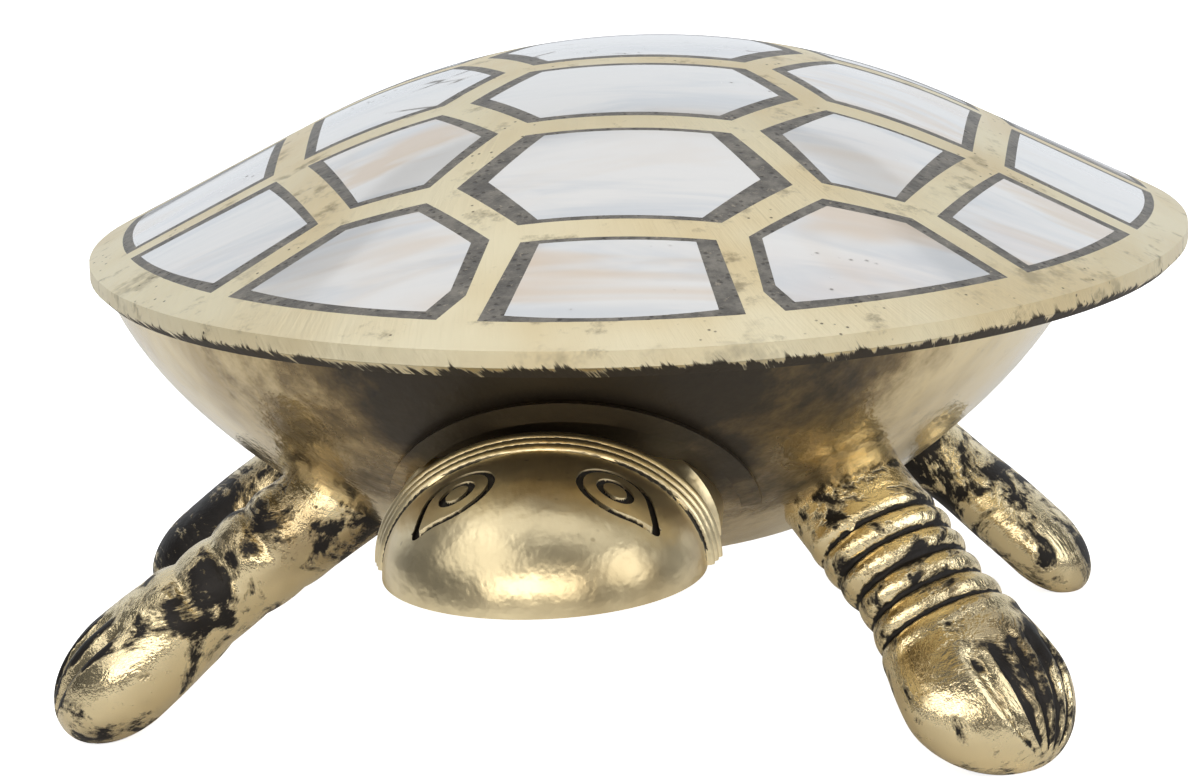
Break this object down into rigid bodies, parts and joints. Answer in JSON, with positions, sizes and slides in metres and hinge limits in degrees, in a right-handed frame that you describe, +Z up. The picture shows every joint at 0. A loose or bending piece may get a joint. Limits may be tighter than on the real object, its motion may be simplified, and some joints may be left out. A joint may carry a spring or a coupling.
{
  "type": "turtle trinket box",
  "caption": "Cast brass turtle trinket box with a hinged shell lid inlaid with mother of pearl plates in dark lac.",
  "frame": {"origin": "middle of the bounding box, on the surface that the feet stand on", "axes": "head towards -Y, tail and hinge towards +Y, +Z up, +X on the right of a viewer in front of the head"},
  "size_m": [0.1032, 0.1456, 0.0571],
  "materials": {
    "brass_polished": "polished, worn, with fine scratches",
    "brass_satin": "ground to a satin with file marks",
    "brass_patina": "cast, polished on the high spots, with black patina",
    "brass_fittings": "dull",
    "pearl": "polished mother of pearl",
    "lac": "dark lac, ground flush"
  },
  "bodies": {
    "base": {"bowl": "brass_polished", "neck_collar": "brass_polished", "head": "brass_polished", "front_left_leg": "brass_patina", "front_right_leg": "brass_patina", "rear_left_leg": "brass_patina", "rear_right_leg": "brass_patina", "tail": "brass_polished", "hinge_bowl_leaf": "brass_fittings", "hinge_pin": "brass_fittings", "leg_rivets": "brass_fittings", "head_rivet": "brass_fittings", "tail_rivet": "brass_fittings", "leaf_rivets": "brass_fittings"},
    "lid": {"shell_lid": "brass_satin", "shell_web": "brass_satin", "pearl_centre_1": "pearl", "pearl_centre_2": "pearl", "pearl_centre_3": "pearl", "pearl_centre_4": "pearl", "pearl_centre_5": "pearl", "pearl_centre_6": "pearl", "pearl_centre_7": "pearl", "pearl_inner_left_1": "pearl", "pearl_inner_left_2": "pearl", "pearl_inner_left_3": "pearl", "pearl_inner_left_4": "pearl", "pearl_inner_left_5": "pearl", "pearl_inner_left_6": "pearl", "pearl_inner_right_1": "pearl", "pearl_inner_right_2": "pearl", "pearl_inner_right_3": "pearl", "pearl_inner_right_4": "pearl", "pearl_inner_right_5": "pearl", "pearl_inner_right_6": "pearl", "pearl_outer_left_1": "pearl", "pearl_outer_left_2": "pearl", "pearl_outer_left_3": "pearl", "pearl_outer_left_4": "pearl", "pearl_outer_right_1": "pearl", "pearl_outer_right_2": "pearl", "pearl_outer_right_3": "pearl", "pearl_outer_right_4": "pearl", "lac_centre": "lac", "lac_inner_left": "lac", "lac_inner_right": "lac", "lac_outer_left": "lac", "lac_outer_right": "lac", "hinge_lid_leaf": "brass_fittings"}
  },
  "joints": [
    {"name": "lid_hinge", "type": "hinge", "parent": "base", "child": "lid", "pos_m": [-0.0022, 0.0638, 0.0361], "axis": [-1, 0, 0], "range_deg": [0, 100]}
  ]
}
